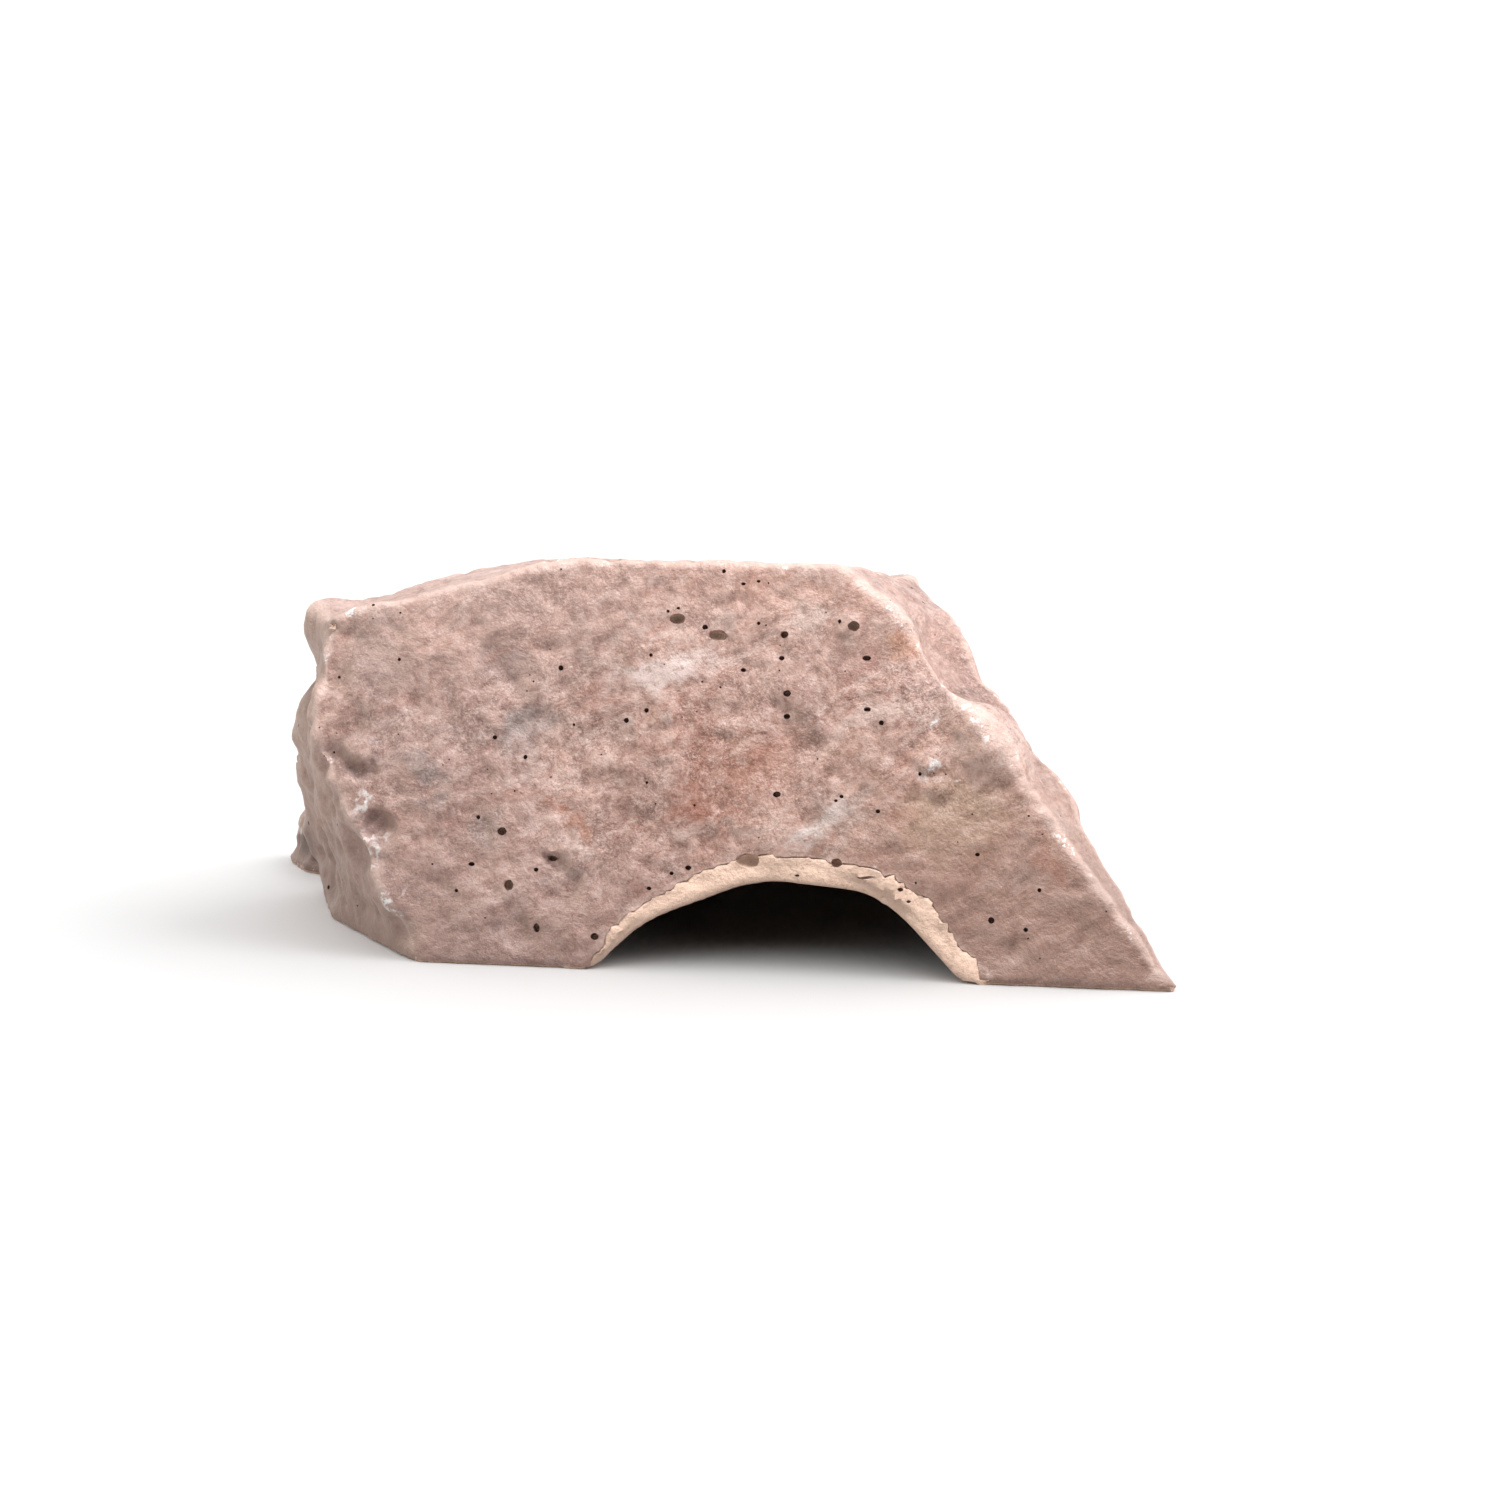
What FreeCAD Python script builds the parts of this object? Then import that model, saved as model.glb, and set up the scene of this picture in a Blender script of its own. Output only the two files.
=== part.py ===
import FreeCAD, Part
import os

# Resin cave ornament: a hide shaped like a split rock, cast hollow in two bonded layers, open underneath,
# with one low arched mouth in its front.
#
# +X runs along the ornament's length, -Y is the side with the mouth and +Z is up. The origin is on the
# ground, in the middle of the ornament's overall box.
#
# The rock is a block with flat faces cleaved off it. Moving every face in by the thickness of a layer gives
# the surface under that layer, so the layers keep their thickness whatever the faces do.

SIZES = {
    # Overall box of the finished ornament, which is also the block that the rock is cleaved from.
    "length": 187,
    "depth": 128,
    "height": 77.5,
    # Box of the low ledge that juts out at the rear of the left end.
    "ledge_length": 55,
    "ledge_depth": 40,
    "ledge_height": 24,
    # Thickness of the tinted face coat, of the backing behind it, and how far the coat is trimmed back from
    # the ground.
    "coat": 1,
    "wall": 5,
    "coat_trim": 0.8,
    # Mouth, drawn on the front face: its middle along the face, its width on the ground, the height of its
    # peak up the face, and how far that peak is from the middle.
    "mouth_across": 24,
    "mouth_width": 73,
    "mouth_height": 19.3,
    "mouth_peak": -4.4,
    # Ground bevel around the mouth: its depth into the wall.
    "bevel_depth": 2.5,
    # How far a cutting solid runs past what it cuts.
    "overrun": 2,
}

# Side faces: the compass turn of the face (0 looks to the front, 90 to the right end, 180 to the back), its
# lean back from upright, and how far its foot is cut in from the block's corner on that side.
ROCK_SIDES = {
    "front": (-9, 17, 29.2),
    "foot_left": (-60, -14, 45.3),
    "left_low": (-79, -5.2, 28.3),
    "left_high": (-81, 8.4, 17),
    "left_back": (-125, 12, 33.7),
    "right_front": (66, 41.3, 0.7),
    "right_low": (84, 29.9, 0.1),
    "right_back": (108, 21.1, 39),
    "back_right": (150, 22, 40),
    "back": (-178, 18, 9.1),
    "back_left": (-155, 16, 29.5),
}
LEDGE_SIDES = {
    "ledge_front": (-30, 6, 16.4),
    "ledge_left": (-66, 10, 11.4),
    "ledge_out": (-100, 14, 2.3),
    "ledge_back": (-165, 18, 4.4),
    "ledge_inner": (150, 20, 7),
}

# Top faces: the compass turn that the face falls towards, its slope, and how far below the top of its block
# it passes over the block's middle. A negative drop is a plane that would pass above the block.
ROCK_TOPS = {
    "crown": (172, 11.3, 4.9),
    "crown_left": (-110, 13.7, -3.8),
    "shoulder": (75, 36, -26.2),
}
LEDGE_TOPS = {
    "ledge_slope": (-75, 38, -1.7),
    "ledge_crown": (-160, 8, 1.5),
}

# Edges of the mouth: the slope of the edge as it runs to the right, and the width of the bevel along it.
MOUTH_EDGES = {
    "ramp_left": (48, 2),
    "roof_left": (22, 4),
    "roof_right": (-5, 4.5),
    "ramp_right": (-46, 4),
}

doc = FreeCAD.newDocument("resin_cave_ornament")
sheet = doc.addObject("Spreadsheet::Sheet", "Sizes")


def fill_sheet():
    """Writes every driving dimension into the sheet, one named cell each."""
    cells = dict(SIZES)
    for name, (turn, lean, cut) in {**ROCK_SIDES, **LEDGE_SIDES}.items():
        cells.update({f"{name}_turn": turn, f"{name}_lean": lean, f"{name}_cut": cut})
    for name, (turn, slope, drop) in {**ROCK_TOPS, **LEDGE_TOPS}.items():
        cells.update({f"{name}_turn": turn, f"{name}_slope": slope, f"{name}_drop": drop})
    for name, (slope, lip) in MOUTH_EDGES.items():
        cells.update({f"{name}_slope": slope, f"{name}_lip": lip})
    for row, (name, value) in enumerate(cells.items(), start=1):
        sheet.set(f"A{row}", name)
        sheet.set(f"B{row}", str(value))
        sheet.setAlias(f"B{row}", name)
    doc.recompute()


def box(name, length, width, height, placement):
    """A box whose three sides and placement are expressions."""
    solid = doc.addObject("Part::Box", name)
    solid.setExpression("Length", length)
    solid.setExpression("Width", width)
    solid.setExpression("Height", height)
    solid.setExpression("Placement", placement)
    return solid


def boolean(kind, name, base, tool):
    """A Part::Cut or Part::Fuse of two objects."""
    result = doc.addObject(kind, name)
    result.Base = base
    result.Tool = tool
    return result


def cleave(solid, name, plane):
    """Takes off all of the solid that is on the outer side of a plane.

    The plane is a placement: a point on it, turned so that its own -Y points out of the solid.
    """
    big = "(Sizes.length + Sizes.depth + Sizes.height) * 2"
    corner = f"placement(vector(-{big} / 2; -{big}; -{big} / 2); rotation(0; 0; 0))"
    cutter = box(f"{name}_cutter", big, big, big, f"{plane} * {corner}")
    return boolean("Part::Cut", f"{name}_cut", solid, cutter)


def side_plane(name, middle, half_length, half_depth, inset):
    """The plane of a side face, moved in by the inset."""
    turn = f"Sizes.{name}_turn"
    lean = f"Sizes.{name}_lean"
    corner = f"abs(sin({turn})) * {half_length} + abs(cos({turn})) * {half_depth}"
    reach = f"({corner} - Sizes.{name}_cut - {inset} / cos({lean}))"
    foot = f"vector({middle[0]} + {reach} * sin({turn}); {middle[1]} - {reach} * cos({turn}); 0)"
    return f"placement({foot}; rotation({turn}; 0; -{lean}))"


def top_plane(name, middle, top, inset):
    """The plane of a top face, moved in by the inset."""
    slope = f"Sizes.{name}_slope"
    level = f"{top} - Sizes.{name}_drop - {inset} / cos({slope})"
    return f"placement(vector({middle[0]}; {middle[1]}; {level}); rotation(Sizes.{name}_turn; 0; {slope} - 90))"


def cleaved_block(name, spans, middle, sides, tops, inset, below):
    """A block standing on the ground, with its faces cleaved off and all of them moved in by the inset."""
    length, depth, height = spans
    corner = f"vector({middle[0]} - {length} / 2 + {inset}; {middle[1]} - {depth} / 2 + {inset}; -{below})"
    solid = box(
        f"{name}_block",
        f"{length} - 2 * {inset}",
        f"{depth} - 2 * {inset}",
        f"{height} - {inset} + {below}",
        f"placement({corner}; rotation(0; 0; 0))",
    )
    for face in sides:
        plane = side_plane(face, middle, f"{length} / 2", f"{depth} / 2", inset)
        solid = cleave(solid, f"{name}_{face}", plane)
    for face in tops:
        solid = cleave(solid, f"{name}_{face}", top_plane(face, middle, height, inset))
    return solid


def stone(name, inset, below):
    """The whole outer shape, rock and ledge, moved in by the inset and reaching that far below the ground."""
    rock_spans = ("Sizes.length", "Sizes.depth", "Sizes.height")
    rock = cleaved_block(f"{name}_rock", rock_spans, ("0", "0"), ROCK_SIDES, ROCK_TOPS, inset, below)
    ledge_spans = ("Sizes.ledge_length", "Sizes.ledge_depth", "Sizes.ledge_height")
    ledge_middle = (
        "(Sizes.ledge_length - Sizes.length) / 2",
        "(Sizes.depth - Sizes.ledge_depth) / 2",
    )
    ledge = cleaved_block(f"{name}_ledge", ledge_spans, ledge_middle, LEDGE_SIDES, LEDGE_TOPS, inset, below)
    return boolean("Part::Fuse", name, rock, ledge)


def mouth_prism(name, thickness, edge_roll, edge_depth):
    """A block through the front wall, with the four edges of the mouth cut off it.

    It lies in the front face's own frame: X along the face, Z up it and Y into the wall. Each edge is a plane
    along the edge line, rolled by its own angle, at a depth into the wall.
    """
    face = side_plane("front", ("0", "0"), "Sizes.length / 2", "Sizes.depth / 2", "0")
    spare = "Sizes.mouth_height"
    corner = f"vector(Sizes.mouth_across - Sizes.mouth_width / 2 - {spare}; -Sizes.overrun; -{spare})"
    solid = box(
        f"{name}_block",
        f"Sizes.mouth_width + 2 * {spare}",
        f"{thickness} + Sizes.overrun",
        f"3 * {spare}",
        f"{face} * placement({corner}; rotation(0; 0; 0))",
    )
    starts = {
        "ramp_left": ("Sizes.mouth_across - Sizes.mouth_width / 2", "0"),
        "roof_left": ("Sizes.mouth_across + Sizes.mouth_peak", "Sizes.mouth_height"),
        "roof_right": ("Sizes.mouth_across + Sizes.mouth_peak", "Sizes.mouth_height"),
        "ramp_right": ("Sizes.mouth_across + Sizes.mouth_width / 2", "0"),
    }
    for edge, (across, up) in starts.items():
        turned = f"rotation(0; -Sizes.{edge}_slope; -90 deg - {edge_roll(edge)})"
        plane = f"{face} * placement(vector({across}; {edge_depth}; {up}); {turned})"
        solid = cleave(solid, f"{name}_{edge}", plane)
    return solid


def mouth():
    """The solid that cuts the mouth: a straight throat, and a bevel that opens out towards the front."""
    through = "Sizes.coat + Sizes.wall + Sizes.overrun"
    throat = mouth_prism("throat", through, lambda edge: "0 deg", "0")
    bevel_angle = "atan(Sizes.{0}_lip / Sizes.bevel_depth)"
    bevel = mouth_prism("bevel", "Sizes.bevel_depth", bevel_angle.format, "Sizes.bevel_depth")
    return boolean("Part::Fuse", "mouth", throat, bevel)


def backing_shell(core, mouth_cutter):
    """The cast backing: the core of the rock, hollowed from below, with the mouth through its front."""
    hollow = stone("hollow", "(Sizes.coat + Sizes.wall)", "Sizes.overrun")
    shell = boolean("Part::Cut", "backing_closed", core, hollow)
    part = boolean("Part::Cut", "backing_shell", shell, mouth_cutter)
    part.Label = "backing_shell"
    return part


def colour_coat(outside, core, mouth_cutter):
    """The tinted face coat on the backing, cut back by the mouth's bevel and trimmed above the ground."""
    skin = boolean("Part::Cut", "coat_closed", outside, core)
    opened = boolean("Part::Cut", "coat_opened", skin, mouth_cutter)
    corner = "vector(-Sizes.length; -Sizes.depth; -Sizes.overrun)"
    trim = box(
        "coat_trimming",
        "Sizes.length * 2",
        "Sizes.depth * 2",
        "Sizes.overrun + Sizes.coat_trim",
        f"placement({corner}; rotation(0; 0; 0))",
    )
    part = boolean("Part::Cut", "colour_coat", opened, trim)
    part.Label = "colour_coat"
    return part


def check(parts):
    """Stops if any object failed to compute, or any sub-part isn't a valid solid."""
    for item in doc.Objects:
        if "Invalid" in item.State or "Error" in item.State:
            raise RuntimeError(f"{item.Label} failed: {item.State}")
    for part in parts:
        if part.Shape.isNull() or not part.Shape.isValid() or not part.Shape.Solids:
            raise RuntimeError(f"{part.Label} is not a valid solid")


fill_sheet()
outside_shape = stone("outside", "0", "0")
core_shape = stone("core", "Sizes.coat", "0")
mouth_shape = mouth()
sub_parts = [
    backing_shell(core_shape, mouth_shape),
    colour_coat(outside_shape, core_shape, mouth_shape),
]
doc.recompute()
check(sub_parts)

os.makedirs("parts", exist_ok=True)
for sub_part in sub_parts:
    sub_part.Shape.exportStep(os.path.join("parts", f"{sub_part.Label}.step"))
    bounds = sub_part.Shape.BoundBox
    print(
        f"{sub_part.Label}: {len(sub_part.Shape.Solids)} solid, {sub_part.Shape.Volume / 1000:.1f} cm3,"
        f" x {bounds.XMin:.1f}..{bounds.XMax:.1f}, y {bounds.YMin:.1f}..{bounds.YMax:.1f},"
        f" z {bounds.ZMin:.1f}..{bounds.ZMax:.1f}"
    )
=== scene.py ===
import math
import random

import bmesh
import bpy
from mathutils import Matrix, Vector, noise
from mathutils.bvhtree import BVHTree
from mathutils.kdtree import KDTree


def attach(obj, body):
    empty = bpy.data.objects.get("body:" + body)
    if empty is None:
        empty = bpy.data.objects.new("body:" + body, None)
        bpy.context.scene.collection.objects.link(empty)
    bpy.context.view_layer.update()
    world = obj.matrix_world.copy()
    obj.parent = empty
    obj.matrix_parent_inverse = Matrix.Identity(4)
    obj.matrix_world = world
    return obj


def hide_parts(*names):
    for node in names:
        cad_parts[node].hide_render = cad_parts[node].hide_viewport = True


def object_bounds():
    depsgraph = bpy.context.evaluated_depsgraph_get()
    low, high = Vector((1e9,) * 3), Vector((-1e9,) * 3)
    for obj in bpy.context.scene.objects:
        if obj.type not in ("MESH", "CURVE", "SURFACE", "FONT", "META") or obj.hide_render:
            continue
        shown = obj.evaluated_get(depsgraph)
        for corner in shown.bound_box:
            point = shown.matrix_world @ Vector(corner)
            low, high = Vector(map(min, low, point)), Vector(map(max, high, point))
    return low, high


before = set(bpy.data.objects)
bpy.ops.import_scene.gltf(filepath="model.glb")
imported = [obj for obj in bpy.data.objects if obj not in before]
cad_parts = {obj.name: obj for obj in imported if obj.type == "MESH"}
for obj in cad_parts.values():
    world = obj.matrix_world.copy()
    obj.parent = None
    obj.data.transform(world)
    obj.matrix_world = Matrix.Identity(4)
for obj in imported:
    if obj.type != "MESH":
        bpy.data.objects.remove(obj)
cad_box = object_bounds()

# ---------------------------------------------------------------------------------------------------------
# The stand. A plain white sheet carries the ornament in a white room, lit through a big window at its right.
# A softbox hangs over the ornament and is kept off the sheet. A flag keeps flat light off the front.
# ---------------------------------------------------------------------------------------------------------
MM = 0.001


class Wire:
    """An output socket that arithmetic can be written with: each operator adds its Math node."""

    def __init__(self, nodes, socket):
        self.nodes = nodes
        self.socket = socket

    def math(self, operation, first, second):
        """The result of one Math node."""
        return self.nodes.node("Math", {"operation": operation}, {0: first, 1: second})

    def __add__(self, other):
        return self.math("ADD", self, other)

    def __radd__(self, other):
        return self.math("ADD", other, self)

    def __sub__(self, other):
        return self.math("SUBTRACT", self, other)

    def __rsub__(self, other):
        return self.math("SUBTRACT", other, self)

    def __mul__(self, other):
        return self.math("MULTIPLY", self, other)

    def __rmul__(self, other):
        return self.math("MULTIPLY", other, self)

    def between(self, low, high):
        """0 below low, 1 above high and a smooth rise between them."""
        sockets = {"Value": self, "From Min": low, "From Max": high}
        return self.nodes.node("MapRange", {"interpolation_type": "SMOOTHSTEP"}, sockets)


class Nodes:
    """The nodes around one shader."""

    def __init__(self, tree, shader):
        self.tree = tree
        self.shader = tree.nodes[shader]

    def node(self, kind, settings, sockets, output=0):
        """The output of a new node of that type."""
        made = self.tree.nodes.new(f"ShaderNode{kind}")
        for setting, value in settings.items():
            setattr(made, setting, value)
        for socket, value in sockets.items():
            if isinstance(value, Wire):
                self.tree.links.new(value.socket, made.inputs[socket])
            else:
                made.inputs[socket].default_value = value
        return Wire(self, made.outputs[output])

    def feed(self, socket, wire):
        """Leads a wire into the shader."""
        self.tree.links.new(wire.socket, self.shader.inputs[socket])


class Finish(Nodes):
    """A material made of one Principled shader and the nodes that feed it."""

    def __init__(self, name, constants):
        self.material = bpy.data.materials.new(name)
        self.material.use_nodes = True
        super().__init__(self.material.node_tree, "Principled BSDF")
        for socket, value in constants.items():
            self.shader.inputs[socket].default_value = value
        self.place = self.node("TexCoord", {}, {}, "Object")

    def clouds(self, size, detail=4.0, roughness=0.6, shift=0.0, place=None):
        """Soft noise, with clouds of that size in millimetres, from 0 to 1."""
        start = {0: place or self.place, 1: (shift, shift, shift)}
        moved = self.node("VectorMath", {"operation": "ADD"}, start)
        sockets = {"Vector": moved, "Scale": 1 / (size * MM), "Detail": detail, "Roughness": roughness}
        return self.node("TexNoise", {}, sockets)

    def blend(self, share, first, second, mode="MIX"):
        """Two colours mixed by a share."""
        settings = {"data_type": "RGBA", "blend_type": mode}
        return self.node("Mix", settings, {0: share, 6: first, 7: second}, 2)

    def attribute(self, name):
        """A number stored on the vertices of the piece."""
        return self.node("Attribute", {"attribute_name": name}, {}, "Fac")


floor_mesh = bpy.data.meshes.new("floor")
floor_form = bmesh.new()
bmesh.ops.create_grid(floor_form, x_segments=1, y_segments=1, size=6.0)
floor_form.to_mesh(floor_mesh)
floor_form.free()
floor = bpy.data.objects.new("floor", floor_mesh)
bpy.context.collection.objects.link(floor)

paper = Finish(
    "white_paper", {"Base Color": (0.93, 0.93, 0.93, 1), "Roughness": 0.9, "Specular IOR Level": 0.1}
)
floor_mesh.materials.append(paper.material)

# The room is white all round, but a black flag stands off in front, which the camera looks past.
ROOM_LIGHT = 1.08
FLAG_LOSS = 0.97

world = bpy.data.worlds.new("white_room")
bpy.context.scene.world = world
world.use_nodes = True
room = Nodes(world.node_tree, "Background")
room.shader.inputs["Color"].default_value = (1, 1, 1, 1)
direction = room.node("TexCoord", {}, {}, "Generated")
behind_camera = (0 - room.node("SeparateXYZ", {}, {0: direction}, "Y")).between(0.55, 0.75)
below_top = 1 - room.node("SeparateXYZ", {}, {0: direction}, "Z").between(0.5, 0.7)
lights_things = 1 - room.node("LightPath", {}, {}, "Is Camera Ray")
room.feed("Strength", ROOM_LIGHT * (1 - FLAG_LOSS * behind_camera * below_top * lights_things))

lit_by_softbox = bpy.data.collections.new("lit_by_softbox")


def lamp(name, kind, place, target, power):
    """A lamp that faces the target."""
    light = bpy.data.lights.new(name, kind)
    light.energy = power
    made = bpy.data.objects.new(name, light)
    made.location = place
    made.rotation_euler = (Vector(target) - Vector(place)).to_track_quat("-Z", "Y").to_euler()
    bpy.context.collection.objects.link(made)
    return made


softbox = lamp("top_softbox", "AREA", (0.12, -0.2, 0.85), (0, 0, 0.04), 11)
softbox.data.size = 0.3
softbox.light_linking.receiver_collection = lit_by_softbox
window = lamp("right_window", "SUN", (0.8, 0.1, 0.6), (0, 0, 0), 1.3)
window.data.angle = math.radians(60)

# The camera stands in front of the mouth, a little above it, and looks level with the middle of the rock.
AIM = Vector((11.3, -15.6, 38)) * MM
CAMERA_DISTANCE = 640 * MM
CAMERA_LIFT = math.radians(10.5)

lens = bpy.data.cameras.new("camera")
lens.lens = 76
lens.sensor_width = 36
lens.clip_start = 0.01
camera = bpy.data.objects.new("camera", lens)
camera.location = AIM + CAMERA_DISTANCE * Vector((0, -math.cos(CAMERA_LIFT), math.sin(CAMERA_LIFT)))
camera.rotation_euler = (math.pi / 2 - CAMERA_LIFT, 0, 0)
bpy.context.collection.objects.link(camera)
bpy.context.scene.camera = camera
bpy.context.scene.view_settings.view_transform = "Standard"

# ---------------------------------------------------------------------------------------------------------
# The casting, as it comes out of the mould: tinted face coat and beige backing bonded into one hollow
# polyester shell. The cleaved faces of the CAD solids give its form, and the relief is that of the rock that
# the mould was taken from. The two pieces below are parted from this surface.
# ---------------------------------------------------------------------------------------------------------
VOXEL = 0.9 * MM
COAT = 1.0 * MM
BITE = 0.1
ON_COAT = 0.5 * MM
FOOT_LEVEL = 0.45 * MM


def merged_copy(node):
    """The surface of a CAD node as a bmesh, its loose triangles joined."""
    copy = bmesh.new()
    copy.from_mesh(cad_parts[node].data)
    bmesh.ops.remove_doubles(copy, verts=copy.verts, dist=0.001 * MM)
    return copy


def laid_out(form, name):
    """An object made from a bmesh, which is used up."""
    mesh = bpy.data.meshes.new(name)
    form.to_mesh(mesh)
    form.free()
    made = bpy.data.objects.new(name, mesh)
    bpy.context.collection.objects.link(made)
    return made


def with_modifier(form, name, kind, **settings):
    """The bmesh that a modifier makes of another one, which is used up."""
    holder = laid_out(form, name)
    holder.vertex_groups.new(name="hidden")
    modifier = holder.modifiers.new(name, kind)
    for setting, value in settings.items():
        setattr(modifier, setting, value)
    result = bmesh.new()
    result.from_object(holder, bpy.context.evaluated_depsgraph_get())
    spent = holder.data
    bpy.data.objects.remove(holder)
    bpy.data.meshes.remove(spent)
    return result


def ramp(value, low, high):
    """0 below low, 1 above high and a smooth rise between them."""
    share = min(max((value - low) / (high - low), 0), 1)
    return share * share * (3 - 2 * share)


coat_solid = merged_copy("colour_coat")
backing_solid = merged_copy("backing_shell")
coat_surface = BVHTree.FromBMesh(coat_solid)

# Both solids are skinned over as one. The backing is swollen a touch so that it bites into the coat.
for vertex in backing_solid.verts:
    if vertex.co.z > MM:
        vertex.co += vertex.normal * BITE * MM
coat_mesh = bpy.data.meshes.new("coat_solid")
coat_solid.to_mesh(coat_mesh)
backing_solid.from_mesh(coat_mesh)
casting = with_modifier(backing_solid, "casting", "REMESH", mode="VOXEL", voxel_size=VOXEL)
bpy.data.meshes.remove(coat_mesh)
coat_solid.free()


def smooth(form, verts, passes):
    """Evens out the given vertices that many times."""
    every_way = {"use_axis_x": True, "use_axis_y": True, "use_axis_z": True}
    for _ in range(passes):
        bmesh.ops.smooth_vert(form, verts=verts, factor=0.5, **every_way)


# Outer faces are those that lie on the coat. Wear and a painted highlight run along the edges: they follow
# what rounding takes off.
is_outer = [coat_surface.find_nearest(vertex.co)[3] < ON_COAT for vertex in casting.verts]
outer_verts = [vertex for vertex, outer in zip(casting.verts, is_outer) if outer]
smooth(casting, casting.verts, 2)
sharp_places = [vertex.co.copy() for vertex in casting.verts]
smooth(casting, outer_verts, 5)
casting.normal_update()
edge_loss = [
    (sharp - vertex.co).dot(vertex.normal) / MM for sharp, vertex in zip(sharp_places, casting.verts)
]

# The mouth was ground to an even arch, so its corners are rounded off. Corners of the throat, x and z in mm.
THROAT = ((-27, -8), (-9.7, 8.3), (13.2, 17.7), (37.2, 15.7), (59, -8))
ARCH_ROUNDING = 6


def throat_height(x):
    """Height of the angular throat at a place across, in millimetres."""
    for (left, low), (right, high) in zip(THROAT, THROAT[1:]):
        if x < right or right == THROAT[-1][0]:
            return low + (high - low) * (x - left) / (right - left)


def arch_shift(x):
    """How far up the rounding moves the edge of the mouth there, in millimetres."""
    steps = [throat_height(x + ARCH_ROUNDING * step / 6) for step in range(-6, 7)]
    return sum(steps) / len(steps) - throat_height(x)


# The ground lip is nearly flush with the front. How far behind the front a place is decides how far it moves.
FRONT_TURN = math.radians(-9)
FRONT_LEAN = math.radians(17)
LIP_DEPTH = 4
LIP_FLATNESS = 0.7
THROAT_END = 11

front_facing = Vector(
    (
        math.sin(FRONT_TURN) * math.cos(FRONT_LEAN),
        -math.cos(FRONT_TURN) * math.cos(FRONT_LEAN),
        math.sin(FRONT_LEAN),
    )
)
front_reach = max(front_facing.dot(place) for place in sharp_places)
for vertex in casting.verts:
    x, y, z = vertex.co / MM
    if -25 < x < 57 and y < -20:
        from_edge = abs(z - throat_height(x))
        share = (1 - ramp(from_edge, 2, 14)) * (1 - ramp(y, -34, -22)) * ramp(z, 0, 2)
        behind = (front_reach - front_facing.dot(vertex.co)) / MM
        if behind < LIP_DEPTH:
            forward = LIP_FLATNESS * behind
        else:
            forward = LIP_FLATNESS * LIP_DEPTH * (1 - min((behind - LIP_DEPTH) / (THROAT_END - LIP_DEPTH), 1))
        vertex.co += front_facing * forward * (1 - ramp(from_edge, 5, 9)) * MM
        vertex.co.z += arch_shift(x) * share * MM

# Hollows pressed into the front face, and knobs that stand out of it where the depth is negative:
# x, z, half width, half height, turn in degrees, depth, in millimetres.
FRONT_HOLLOWS = (
    (-62.5, 25.5, 3.9, 3.3, 20, 1.7),
    (-66, 40, 4, 2.6, 0, -1.2),
    (-66, 36, 4, 1.6, 10, 0.7),
    (-67, 46, 1.5, 4, 0, 0.9),
    (-36, 44, 6.5, 1.6, -38, 0.5),
    (-28, 47, 3, 2.4, 0, 0.5),
    (-35, 58, 7, 5, 0, 0.6),
    (-27, 20, 3.0, 1.5, 25, 1.3),
    (-26, 15.5, 4.5, 4, 0, 1.0),
    (-24, 21, 4, 3, 0, -0.8),
    (-35, 8, 2.6, 5, 0, 0.7),
    (31, 66, 3, 2.6, 0, -0.7),
    (46, 41, 3, 2.2, 0, -0.9),
    (48, 36, 2.4, 2.2, 0, -0.7),
    (-44, 23, 5, 8, 0, 0.6),
    (20, 46, 9, 3, 40, 0.5),
)
# The same on the flanks, as balls: place, reach and depth.
FLANK_HOLLOWS = (
    ((51, -29, 58), 11, 3.4),
    ((60, -42, 47), 9, -3.0),
    ((43, -33, 65), 5, -0.8),
    ((74, -30, 30), 11, -2.2),
    ((56, -14, 62), 9, -1.4),
    ((-76, 2, 50), 4.5, 2.6),
    ((-78, 0, 62), 8, -2.2),
    ((-80, 6, 39), 7, -1.8),
    ((-78, 0, 28), 5, 1.6),
    ((-24, 40, 74), 9, -2.2),
    ((-38, 16, 71), 7, 1.2),
    ((-73, -21, 54), 4, 1.4),
    ((-87, 24, 15), 10, -3.4),
    ((-81, 0, 14), 11, 3.0),
    ((-68, -30, 20), 4.5, 1.8),
    ((-63, -34, 13), 5, -1.4),
    ((-59, -38, 5), 4, 1.5),
    ((-72, -24, 38), 4, 1.2),
)


def pressed(place, facing):
    """How deep the named hollows are at a place, in millimetres."""
    depth = 0
    if facing.y < -0.5:
        for x, z, wide, high, turn, deep in FRONT_HOLLOWS:
            across, up = place.x - x, place.z - z
            cosine, sine = math.cos(math.radians(turn)), math.sin(math.radians(turn))
            run = ((across * cosine - up * sine) / wide) ** 2 + ((across * sine + up * cosine) / high) ** 2
            depth += deep * (1 - ramp(math.sqrt(run), 0.65, 1.2))
    for middle, reach, deep in FLANK_HOLLOWS:
        run = ((place - Vector(middle)).length / reach) ** 2
        if run < 2:
            depth += deep * (1 - ramp(math.sqrt(run), 0.3, 1.4))
    return depth


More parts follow.
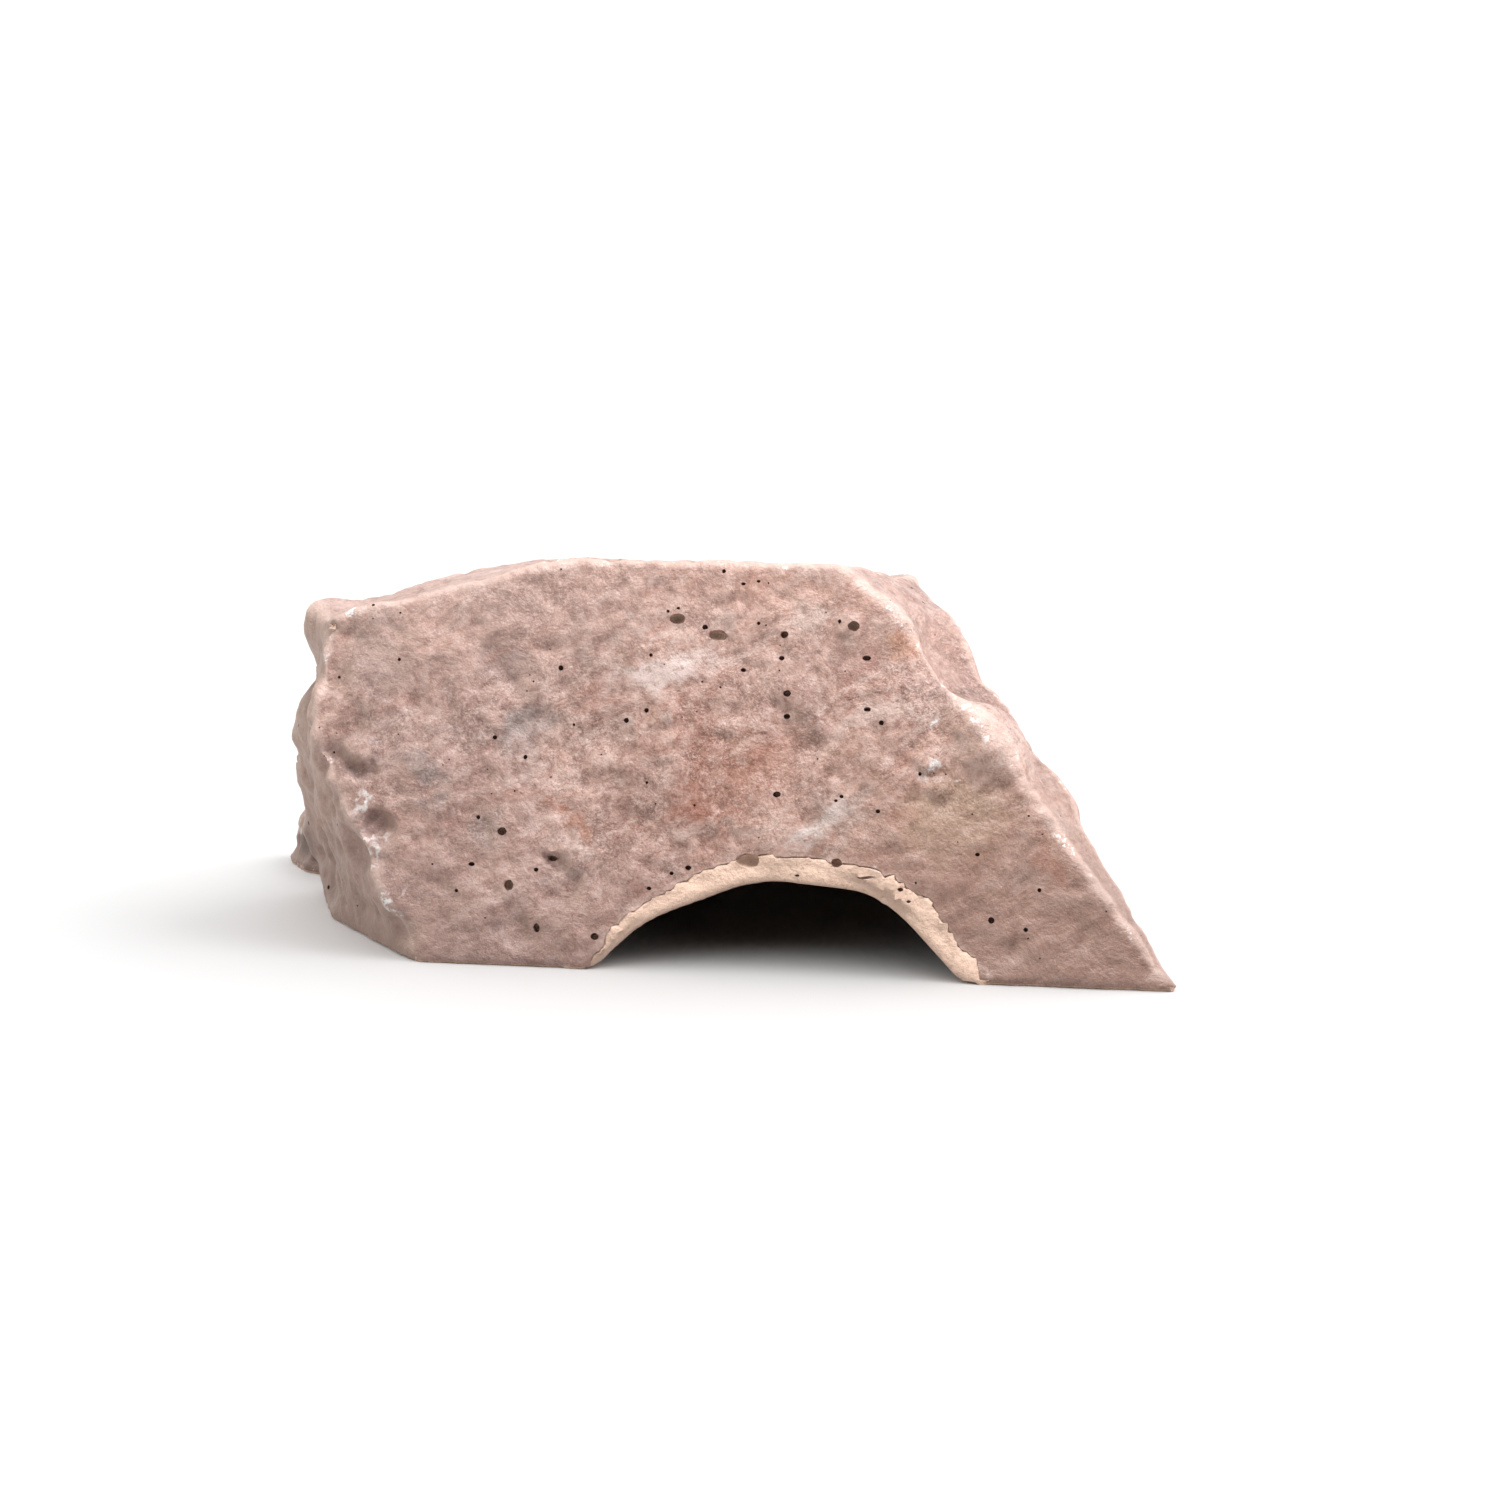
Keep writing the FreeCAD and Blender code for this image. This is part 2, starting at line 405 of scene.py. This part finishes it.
def relief(place):
    """How far the rock stands out at a place, in millimetres, from its broad swells to its small lumps."""
    lumps = 0.75 * noise.fractal(place / 11, 0.75, 2.1, 3)
    warp = Vector((noise.noise(place / 6), noise.noise(place / 6 + Vector((9, 9, 9))), 0))
    dimple = noise.voronoi(place / 8 + 0.6 * warp)[0][0]
    lumps -= 0.45 * (1 - ramp(dimple, 0.15, 0.4))
    # The left end and the back are knobs with creases between them. The foot at the left is striped.
    left = ramp(-place.x, 60, 76)
    behind = ramp(place.y, -20, 10)
    broken = max(left, 0.6 * behind)
    swell = (1 + 1.4 * behind) * noise.noise(place / 30)
    knob = noise.voronoi(Vector((place.x, place.y, place.z * 0.75)) / 15)[0][0]
    stripes = noise.noise(Vector((place.x / 3.2, place.y / 3.2, place.z / 16)))
    foot = left * ramp(-place.z, -32, -18)
    knobs = broken * 1.7 * (0.42 - knob)
    return swell + lumps * (1 + 0.8 * broken) + knobs + (0.2 * broken + 0.5 * foot) * stripes


lifts = []
for vertex, outer in zip(casting.verts, is_outer):
    place = vertex.co / MM
    lifts.append(relief(place) - pressed(place, vertex.normal) if outer else 0)
    vertex.co += vertex.normal * lifts[-1] * ramp(place.z, -1, 5) * MM
for vertex in casting.verts:
    if vertex.co.z < FOOT_LEVEL:
        vertex.co.z = 0
    vertex.co.x = min(max(vertex.co.x, cad_box[0][0]), cad_box[1][0])
    vertex.co.y = min(max(vertex.co.y, cad_box[0][1]), cad_box[1][1])
casting.normal_update()

# Distance from the ground lip of the mouth, which decides where the ragged edge of the coat runs.
lip_places = [
    vertex.co.copy()
    for vertex, outer in zip(casting.verts, is_outer)
    if not outer and vertex.co.y < -38 * MM and vertex.co.z > 2 * MM and vertex.normal.y < -0.3
]
lip_tree = KDTree(len(lip_places))
for index, place in enumerate(lip_places):
    lip_tree.insert(place, index)
lip_tree.balance()


def coat_margin(place):
    """How far inside the edge of the coat a place is, in millimetres. The edge is chipped and uneven."""
    from_lip = lip_tree.find(place)[2] / MM
    ground_away = 0.6 + 1.8 * ramp(place.x / MM, -14, 4)
    chips = 1.1 * noise.noise(place / MM / 6) + 0.4 * noise.noise(place / MM / 2.2)
    return from_lip - ground_away - chips


margins = [coat_margin(vertex.co) if outer else -1 for vertex, outer in zip(casting.verts, is_outer)]
casting.verts.ensure_lookup_table()
casting.faces.ensure_lookup_table()
coat_faces = {
    face.index
    for face in casting.faces
    if all(margins[vertex.index] > 0 for vertex in face.verts)
    and min(vertex.co.z for vertex in face.verts) > 0.3 * MM
}
wear_tree = KDTree(len(casting.verts))
for vertex in casting.verts:
    wear_tree.insert(vertex.co, vertex.index)
wear_tree.balance()

# Air bubbles that broke open at the surface of the front: x, z, width, height, in millimetres.
FRONT_BUBBLES = (
    (-3, 66.5, 3.2, 2.2),
    (-4.8, 68, 0.7, 0.7),
    (-2.8, 68.6, 0.7, 0.6),
    (5, 63.5, 4.0, 2.2),
    (2.5, 65, 1.2, 1.0),
    (18, 64, 1.7, 1.5),
    (17.5, 59.5, 1.2, 1.1),
    (18.5, 53, 1.6, 1.3),
    (18.5, 48.5, 1.4, 1.2),
    (10, 57, 1.1, 1.0),
    (31.5, 66, 2.4, 2.1),
    (10, 73.5, 1.0, 0.7),
    (13, 74, 0.8, 0.6),
    (13, 66, 0.8, 0.8),
    (34, 60, 1.8, 1.1),
    (34, 50.5, 1.5, 1.0),
    (-13, 47, 1.2, 1.1),
    (-9, 49, 1.1, 1.0),
    (16.5, 34, 1.6, 1.2),
    (-37.5, 25.5, 1.9, 1.7),
    (-36, 15.5, 2.0, 2.2),
    (-43.5, 19, 1.4, 0.9),
    (-46.5, 14, 0.9, 0.8),
    (-30.5, 7.5, 1.4, 1.9),
    (-19, 6.5, 1.7, 1.4),
    (-27.5, 20.5, 2.4, 1.2),
    (36, 31.5, 1.0, 0.9),
    (29, 34, 0.9, 0.8),
    (57.5, 12, 1.3, 1.3),
    (64, 10.5, 1.0, 0.9),
    (55, 24, 1.0, 0.8),
    (-58.5, 57.5, 0.8, 0.8),
    (-33, 39.5, 0.9, 1.0),
    (11, 21.3, 5.0, 2.9),
    (28, 21.6, 2.3, 1.8),
    (40.2, 17.2, 1.2, 0.8),
    (41.8, 15, 0.9, 0.6),
    (-0.8, 19.6, 1.3, 1.0),
    (-4, 18.4, 0.9, 0.8),
    (-8.4, 15.6, 1.0, 0.8),
    (20.4, 18.9, 1.0, 0.5),
    (33.5, 19, 3.6, 0.6),
)
SMALL_BUBBLES = 230

casting_surface = BVHTree.FromBMesh(casting)
bubble_places = []


def add_bubble(form, place, facing, width, height):
    """Adds the ball of air that leaves a hole of that size at a place."""
    ball = bmesh.ops.create_icosphere(form, subdivisions=3 if width > 1 else 2, radius=0.5)["verts"]
    depth = 1.25 * min(max(width, height), 2)
    for vertex in ball:
        wobble = 1 + 0.12 * noise.noise(vertex.co * 3 + place / MM)
        vertex.co = Vector((vertex.co.x * width, vertex.co.y * depth, vertex.co.z * height)) * wobble * MM
    tilt = (-facing).to_track_quat("Y", "Z").to_matrix()
    bmesh.ops.rotate(form, verts=ball, cent=(0, 0, 0), matrix=tilt)
    bmesh.ops.translate(form, verts=ball, vec=place - facing * 0.12 * depth * MM)
    bubble_places.append((place.copy(), max(width, height) * MM))


bubbles = bmesh.new()
for x, z, width, height in FRONT_BUBBLES:
    place, facing, _, _ = casting_surface.ray_cast(Vector((x * MM, -0.2, z * MM)), Vector((0, 1, 0)))
    if place:
        add_bubble(bubbles, place, facing, width, height)

chance = random.Random(7)
outer_faces = [casting.faces[index] for index in sorted(coat_faces)]
for _ in range(SMALL_BUBBLES):
    face = chance.choice(outer_faces)
    place = face.calc_center_median()
    width = 0.35 + 0.75 * chance.random() ** 3
    clear = all((place - other).length > (size + width * MM) * 0.7 for other, size in bubble_places)
    if clear and place.z > 3 * MM:
        add_bubble(bubbles, place, face.normal.copy(), width, width * chance.uniform(0.8, 1.1))
bubble_cutter = laid_out(bubbles, "bubbles")

def tint(red, green, blue):
    """The linear colour that a shader takes, from how the resin looks in the studio light."""
    return (*(0.76 * (channel / 255) ** 2.2 for channel in (red, green, blue)), 1)


# ---------------------------------------------------------------------------------------------------------
# Backing shell: bare polyester resin filled with pale sand, poured behind the coat. It shows in the ground
# lip of the mouth, in its broken bubbles, in the thin line where the foot was sanded flat, and inside.
# ---------------------------------------------------------------------------------------------------------
coat_covered = {
    vertex.index for vertex in casting.verts if all(face.index in coat_faces for face in vertex.link_faces)
}
backing = casting.copy()
backing.verts.ensure_lookup_table()
hidden = backing.verts.layers.deform.verify()
for index in coat_covered:
    vertex = backing.verts[index]
    vertex.co = casting.verts[index].co - casting.verts[index].normal * COAT
    vertex[hidden][0] = 1
# What the coat hides is made coarser, so that the mesh is spent on what shows.
backing = with_modifier(backing, "backing_shell_coarse", "DECIMATE", ratio=0.66, vertex_group="hidden")
backing = with_modifier(
    backing, "backing_shell_body", "BOOLEAN", operation="DIFFERENCE", solver="MANIFOLD", object=bubble_cutter
)
backing_piece = laid_out(backing, "backing_shell_cast")


def mark(piece, name, value_at):
    """Stores a number on every vertex of a piece, for its material to read."""
    marks = piece.data.attributes.new(name, "FLOAT", "POINT")
    marks.data.foreach_set("value", [value_at(vertex.co) for vertex in piece.data.vertices])


bubble_tree = KDTree(len(bubble_places))
for index, (place, size) in enumerate(bubble_places):
    bubble_tree.insert(place, index)
bubble_tree.balance()


def bubble_shade_depth(place):
    """0 at the surface, rising to 1 at the bottom of a broken bubble: how far painted shade darkens it there.
    """
    _, index, distance = bubble_tree.find(place)
    size = bubble_places[index][1]
    if distance > 1.2 * size:
        return 0
    below = casting_surface.find_nearest(place)[3]
    return ramp(below / size, 0.08, 0.5) * (1 - 0.3 * ramp(size / MM, 1.3, 2.6))


def cave_shade_depth(place):
    """0 on the outside and the lip, 1 on the walls of the cave, which are painted dark as shade."""
    return ramp(coat_surface.find_nearest(place)[3] / MM, 4.2, 5.4)


mark(backing_piece, "bubble", bubble_shade_depth)
mark(backing_piece, "cave", cave_shade_depth)

sand = Finish("backing_resin", {"Roughness": 0.8, "Specular IOR Level": 0.3})
sand_colour = sand.blend(sand.clouds(7, 5), tint(224, 188, 166), tint(242, 210, 190))
sand_colour = sand.blend(sand.clouds(0.8, 3, 0.7).between(0.52, 0.7) * 0.5, sand_colour, tint(178, 146, 124))
# Painted shade: the broken bubbles darken towards their bottoms.
sand_colour = sand.blend(sand.attribute("bubble") * 0.85, sand_colour, tint(132, 102, 86))
# Painted shade: the walls of the cave are darkened almost to black.
sand_colour = sand.blend(sand.attribute("cave"), sand_colour, tint(34, 30, 27))
sand.feed("Base Color", sand_colour)
sand_relief = 0.25 * sand.clouds(0.6, 4, 0.7) + 0.6 * sand.clouds(3, 3)
sand.feed("Normal", sand.node("Bump", {}, {"Strength": 1.0, "Distance": MM, "Height": sand_relief}))
backing_piece.data.materials.append(sand.material)
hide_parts("backing_shell")
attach(backing_piece, "root")

# ---------------------------------------------------------------------------------------------------------
# Colour coat: tinted resin, swirled from three pigments and brushed into the mould as a skin a millimetre
# thick. It is chipped along the edges of the rock and around the mouth, where its white filler shows.
# ---------------------------------------------------------------------------------------------------------
coat = casting.copy()
coat.faces.ensure_lookup_table()
bmesh.ops.delete(
    coat, geom=[face for face in coat.faces if face.index not in coat_faces], context="FACES"
)
smooth(coat, [vertex for vertex in coat.verts if vertex.is_boundary], 4)
for vertex in coat.verts:
    if vertex.is_boundary and vertex.co.z < 2 * MM:
        vertex.co.z = 0.5 * MM
coat = with_modifier(
    coat, "colour_coat_skin", "SOLIDIFY", thickness=COAT, offset=-1, shell_vertex_group="hidden"
)
coat = with_modifier(coat, "colour_coat_coarse", "DECIMATE", ratio=0.62, vertex_group="hidden")
coat = with_modifier(
    coat, "colour_coat_body", "BOOLEAN", operation="DIFFERENCE", solver="MANIFOLD", object=bubble_cutter
)
coat_piece = laid_out(coat, "colour_coat_cast")


def edge_wear_and_highlight(place):
    """1 along the edges of the rock, which are worn and painted paler as a highlight, 0 on its faces."""
    return ramp(edge_loss[wear_tree.find(place)[1]], 0.02, 0.13) * ramp(place.z / MM, 1, 4)


def near_lip(place):
    """1 at the chipped edge of the coat around the mouth, 0 away from it."""
    return 1 - ramp(lip_tree.find(place)[2] / MM, 1.0, 4.0)


def rise(place):
    """How far the rock stands out there: 0 in the deepest hollows, 1 on the highest knobs."""
    return 0.5 + 0.25 * lifts[wear_tree.find(place)[1]]


mark(coat_piece, "bubble", bubble_shade_depth)
mark(coat_piece, "rise", rise)
mark(coat_piece, "edge", edge_wear_and_highlight)
mark(coat_piece, "rim", near_lip)

rock = Finish("tinted_resin", {"IOR": 1.5, "Specular IOR Level": 0.45})

# Broad swirls of pigment, each from clouds that are drawn out of shape.
drift = rock.node("TexNoise", {}, {"Vector": rock.place, "Scale": 70.0, "Detail": 3.0}, "Color")
swirl = rock.node("VectorMath", {"operation": "SCALE"}, {0: drift, "Scale": 9 * MM})
warped = rock.node("VectorMath", {"operation": "ADD"}, {0: rock.place, 1: swirl})
broad = rock.clouds(16, 5, 0.62, place=warped).between(0.36, 0.66)
colour = rock.blend(broad, tint(172, 134, 122), tint(204, 164, 150))
# size in mm, detail, roughness and shift of the clouds, where they start and are full, strength and colour
SWIRLS = (
    (8, 6, 0.66, 0.31, 0.53, 0.70, 0.75, (140, 112, 104)),
    (10, 5, 0.6, 0.57, 0.55, 0.72, 0.6, (214, 190, 182)),
    (18, 5, 0.6, 0.83, 0.56, 0.72, 0.6, (184, 136, 120)),
    (11, 6, 0.65, 1.13, 0.58, 0.72, 0.7, (146, 134, 130)),
)
for size, detail, roughness, shift, low, high, strength, pigment in SWIRLS:
    swirls = rock.clouds(size, detail, roughness, shift=shift, place=warped).between(low, high)
    colour = rock.blend(swirls * strength, colour, tint(*pigment))

# Small relief, from 0 to 1. Its hollows are darker and its tops paler: partly pigment that settled in the
# hollows, partly painted shade in the hollows and painted highlight on the tops.
lumps = rock.clouds(4.5, 5, 0.66, place=warped)
bumps = rock.clouds(1.5, 3, 0.6, shift=0.27)
relief_shade_and_pigment = 0.7 * lumps + 0.13 * bumps + 0.17 * rock.attribute("rise")
# Painted shade in the hollows of the small relief, partly pigment settled there.
colour = rock.blend((1 - relief_shade_and_pigment.between(0.42, 0.51)) * 0.85, colour, (0.58, 0.5, 0.47, 1), "MULTIPLY")
# Painted highlight on the tops of the small relief, partly paler pigment there.
colour = rock.blend(relief_shade_and_pigment.between(0.5, 0.64) * 0.4, colour, tint(230, 202, 192))


def patch(middle, spans, turn):
    """A soft-edged patch of pigment or of painted shadow: its middle, its half spans and its turn on the
    front, in mm.
    """
    sockets = {
        "Vector": warped_patch,
        "Location": Vector(middle) * MM,
        "Rotation": (0, math.radians(-turn), 0),
        "Scale": Vector(spans) * MM,
    }
    inside = rock.node("Mapping", {"vector_type": "TEXTURE"}, sockets)
    away = rock.node("VectorMath", {"operation": "LENGTH"}, {0: inside}, "Value")
    return 1 - away.between(0.35, 1.1)


ragged = rock.node("TexNoise", {}, {"Vector": rock.place, "Scale": 150.0, "Detail": 4.0}, "Color")
centred = rock.node("VectorMath", {"operation": "SUBTRACT"}, {0: ragged, 1: (0.5, 0.5, 0.5)})
raggedness = (12 * MM, 12 * MM, 12 * MM)
pushed = {0: centred, 1: raggedness, 2: rock.place}
warped_patch = rock.node("VectorMath", {"operation": "MULTIPLY_ADD"}, pushed)
# middle, half spans, turn, colour and strength
PIGMENT = (
    # a pale vein across the upper middle, and a paler one over the mouth
    ((-6, -31, 56), (15, 14, 3.2), 14, (218, 198, 192), 0.9),
    ((25, -43, 29), (9, 14, 3.6), 27, (226, 210, 204), 1.0),
    # red-brown stains
    ((7, -38, 37), (17, 14, 8), 15, (164, 112, 94), 0.75),
    ((-24, -37, 28), (9, 12, 1.8), -40, (162, 106, 82), 0.9),
    ((33, -38, 56), (13, 12, 3.2), 52, (150, 100, 88), 0.8),
    ((2, -36, 31), (12, 12, 2), 10, (156, 98, 80), 0.7),
    ((69, -52, 22), (5, 12, 3), -60, (170, 104, 86), 0.8),
    ((42, -36, 62), (3, 8, 5), 60, (206, 138, 96), 0.5),
    # olive beige low on the right, and grey on the left
    ((50, -47, 30), (14, 14, 9), 10, (176, 150, 124), 0.6),
    ((-35, -26, 57), (9, 12, 6), 0, (134, 118, 114), 0.55),
    ((-33, -29, 46), (8, 12, 6), 30, (158, 148, 144), 0.6),
    ((-41, -34, 27), (5, 12, 7), 0, (128, 114, 108), 0.6),
    ((21, -30, 68), (4, 10, 6), 30, (206, 190, 180), 0.5),
    ((-62, -26, 57), (9, 12, 8), 0, (176, 152, 142), 0.5),
    # white chips down the left corner, and on the right
    ((-66.5, -29, 29), (3, 6, 0.7), 60, (255, 250, 246), 1.0),
    ((-62.5, -33, 20.5), (0.9, 6, 2.6), 10, (255, 250, 246), 1.0),
    ((-64.5, -32, 23), (4, 6, 0.5), 0, (255, 244, 238), 0.9),
    ((-57, -36, 13), (0.6, 6, 2.6), -25, (250, 236, 228), 0.8),
    ((-70, -26, 12), (0.5, 6, 3.5), 10, (236, 214, 200), 0.8),
    ((46, -44, 39), (1.7, 5, 1.2), 15, (255, 252, 250), 1.0),
    ((48, -43, 49), (1.2, 5, 0.9), 10, (255, 252, 250), 1.0),
    ((50, -44, 36), (0.8, 5, 0.6), 0, (250, 240, 234), 1.0),
    # the browner end on the left
    ((-80, 4, 54), (14, 30, 22), 0, (150, 118, 100), 0.5),
    # the warm upper edge
    ((22, -30, 72), (20, 12, 4), 0, (200, 146, 126), 0.5),
    ((-50, -26, 62), (14, 12, 4), 5, (196, 150, 132), 0.4),
)
for middle, spans, turn, pigment, strength in PIGMENT:
    colour = rock.blend(patch(middle, spans, turn) * strength, colour, tint(*pigment))

# The swirls were drawn out as the resin was brushed, up to the right. Small mottling and speckle lie on top.
BRUSHED_UP = math.radians(28)
drawn_out = {"Vector": warped, "Rotation": (0, -BRUSHED_UP, 0), "Scale": (5, 1, 1)}
brushed = rock.node("Mapping", {"vector_type": "TEXTURE"}, drawn_out)
colour = rock.blend(
    rock.clouds(5, 3, 0.6, place=brushed).between(0.53, 0.68) * 0.45, colour, tint(172, 118, 100)
)
colour = rock.blend(
    rock.clouds(4, 3, 0.6, shift=0.37, place=brushed).between(0.54, 0.7) * 0.45, colour, tint(226, 200, 190)
)
small_mottle = rock.clouds(1.9, 4, 0.7, shift=0.71)
dark_mottle = (1 - small_mottle.between(0.39, 0.48)) * 0.75
colour = rock.blend(dark_mottle, colour, (0.6, 0.5, 0.46, 1), "MULTIPLY")
colour = rock.blend(small_mottle.between(0.52, 0.66) * 0.3, colour, tint(234, 206, 196))
speckle = rock.clouds(0.5, 3, 0.8)
grainy = 0.35 + 0.65 * rock.clouds(9, 3, shift=0.63).between(0.42, 0.6)
dark_speckle = (1 - speckle.between(0.38, 0.48)) * grainy * 0.65
colour = rock.blend(dark_speckle, colour, (0.5, 0.42, 0.4, 1), "MULTIPLY")
colour = rock.blend(speckle.between(0.5, 0.66) * grainy * 0.4, colour, tint(240, 218, 208))

# The foot is browner, most of all at the right. The left is greyer. Its end gets a painted shadow of the main
# body.
# Painted light and shade: the upper front is painted paler, faces that look up are painted darker and faces
# that look right a little paler.
across = rock.node("SeparateXYZ", {}, {0: rock.place}, "X")
up = rock.node("SeparateXYZ", {}, {0: rock.place}, "Z")
low_right = across.between(0, 50 * MM) * (1 - up.between(20 * MM, 55 * MM))
colour = rock.blend(low_right * 0.5, colour, tint(150, 116, 98))
colour = rock.blend((1 - up.between(5 * MM, 35 * MM)) * 0.5, colour, tint(136, 106, 97))
colour = rock.blend((1 - across.between(-50 * MM, 0)) * 0.2, colour, tint(168, 148, 144))
# Painted light: the upper front is paler.
colour = rock.blend(up.between(45 * MM, 70 * MM) * 0.2, colour, tint(222, 186, 174))
facing = rock.node("NewGeometry", {}, {}, "Normal")
faces_right = rock.node("SeparateXYZ", {}, {0: facing}, "X")
faces_up = rock.node("SeparateXYZ", {}, {0: facing}, "Z")
# Painted light on faces that look right, painted shade on faces that look up.
colour = rock.blend(faces_right.between(0.3, 0.7) * 0.12, colour, tint(226, 196, 186))
colour = rock.blend(faces_up.between(0.3, 0.95), colour, (0.74, 0.76, 0.78, 1), "MULTIPLY")
# Painted light: faces that look left are paler, as fill on the shaded side.
colour = rock.blend((1 - faces_right.between(-1.0, 0.1)) * 0.55, colour, tint(196, 166, 148))
# Painted shadow: the lobe at the left end, darkened where the main body shades it.
colour = rock.blend(patch((-90, 30, 10), (12, 30, 16), 0) * 0.9, colour, tint(88, 68, 56))

# Chips of white filler on the worn edges and around the mouth. The edges are paler all along, partly wear and
# partly painted highlight, and the bubbles are darkened with painted shade.
chips = rock.clouds(1.6, 4, 0.7, shift=0.9).between(0.52, 0.6)
patches = rock.clouds(9, 3, shift=0.2).between(0.52, 0.6)
# Painted highlight and wear: the edges are paler all along.
colour = rock.blend(rock.attribute("edge") * 0.4, colour, tint(234, 204, 192))
colour = rock.blend(rock.attribute("edge") * chips * patches, colour, tint(252, 246, 242))
colour = rock.blend(rock.attribute("rim") * chips * patches, colour, tint(248, 236, 230))
# Painted shade: the bubbles of the coat darken towards their bottoms.
colour = rock.blend(rock.attribute("bubble"), colour, tint(78, 52, 44))
rock.feed("Base Color", colour)
rock.feed("Roughness", 0.4 + 0.25 * rock.clouds(4, 4))
height = 0.65 * lumps + 0.22 * bumps + 0.09 * rock.clouds(0.45, 3, 0.7)
rock.feed("Normal", rock.node("Bump", {}, {"Strength": 1.0, "Distance": MM, "Height": height}))
coat_piece.data.materials.append(rock.material)
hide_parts("colour_coat")
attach(coat_piece, "root")

bpy.data.objects.remove(bubble_cutter)
casting.free()
for piece in (backing_piece, coat_piece):
    lit_by_softbox.objects.link(piece)
    piece.data.shade_smooth()
    piece.data.set_sharp_from_angle(angle=math.radians(50))
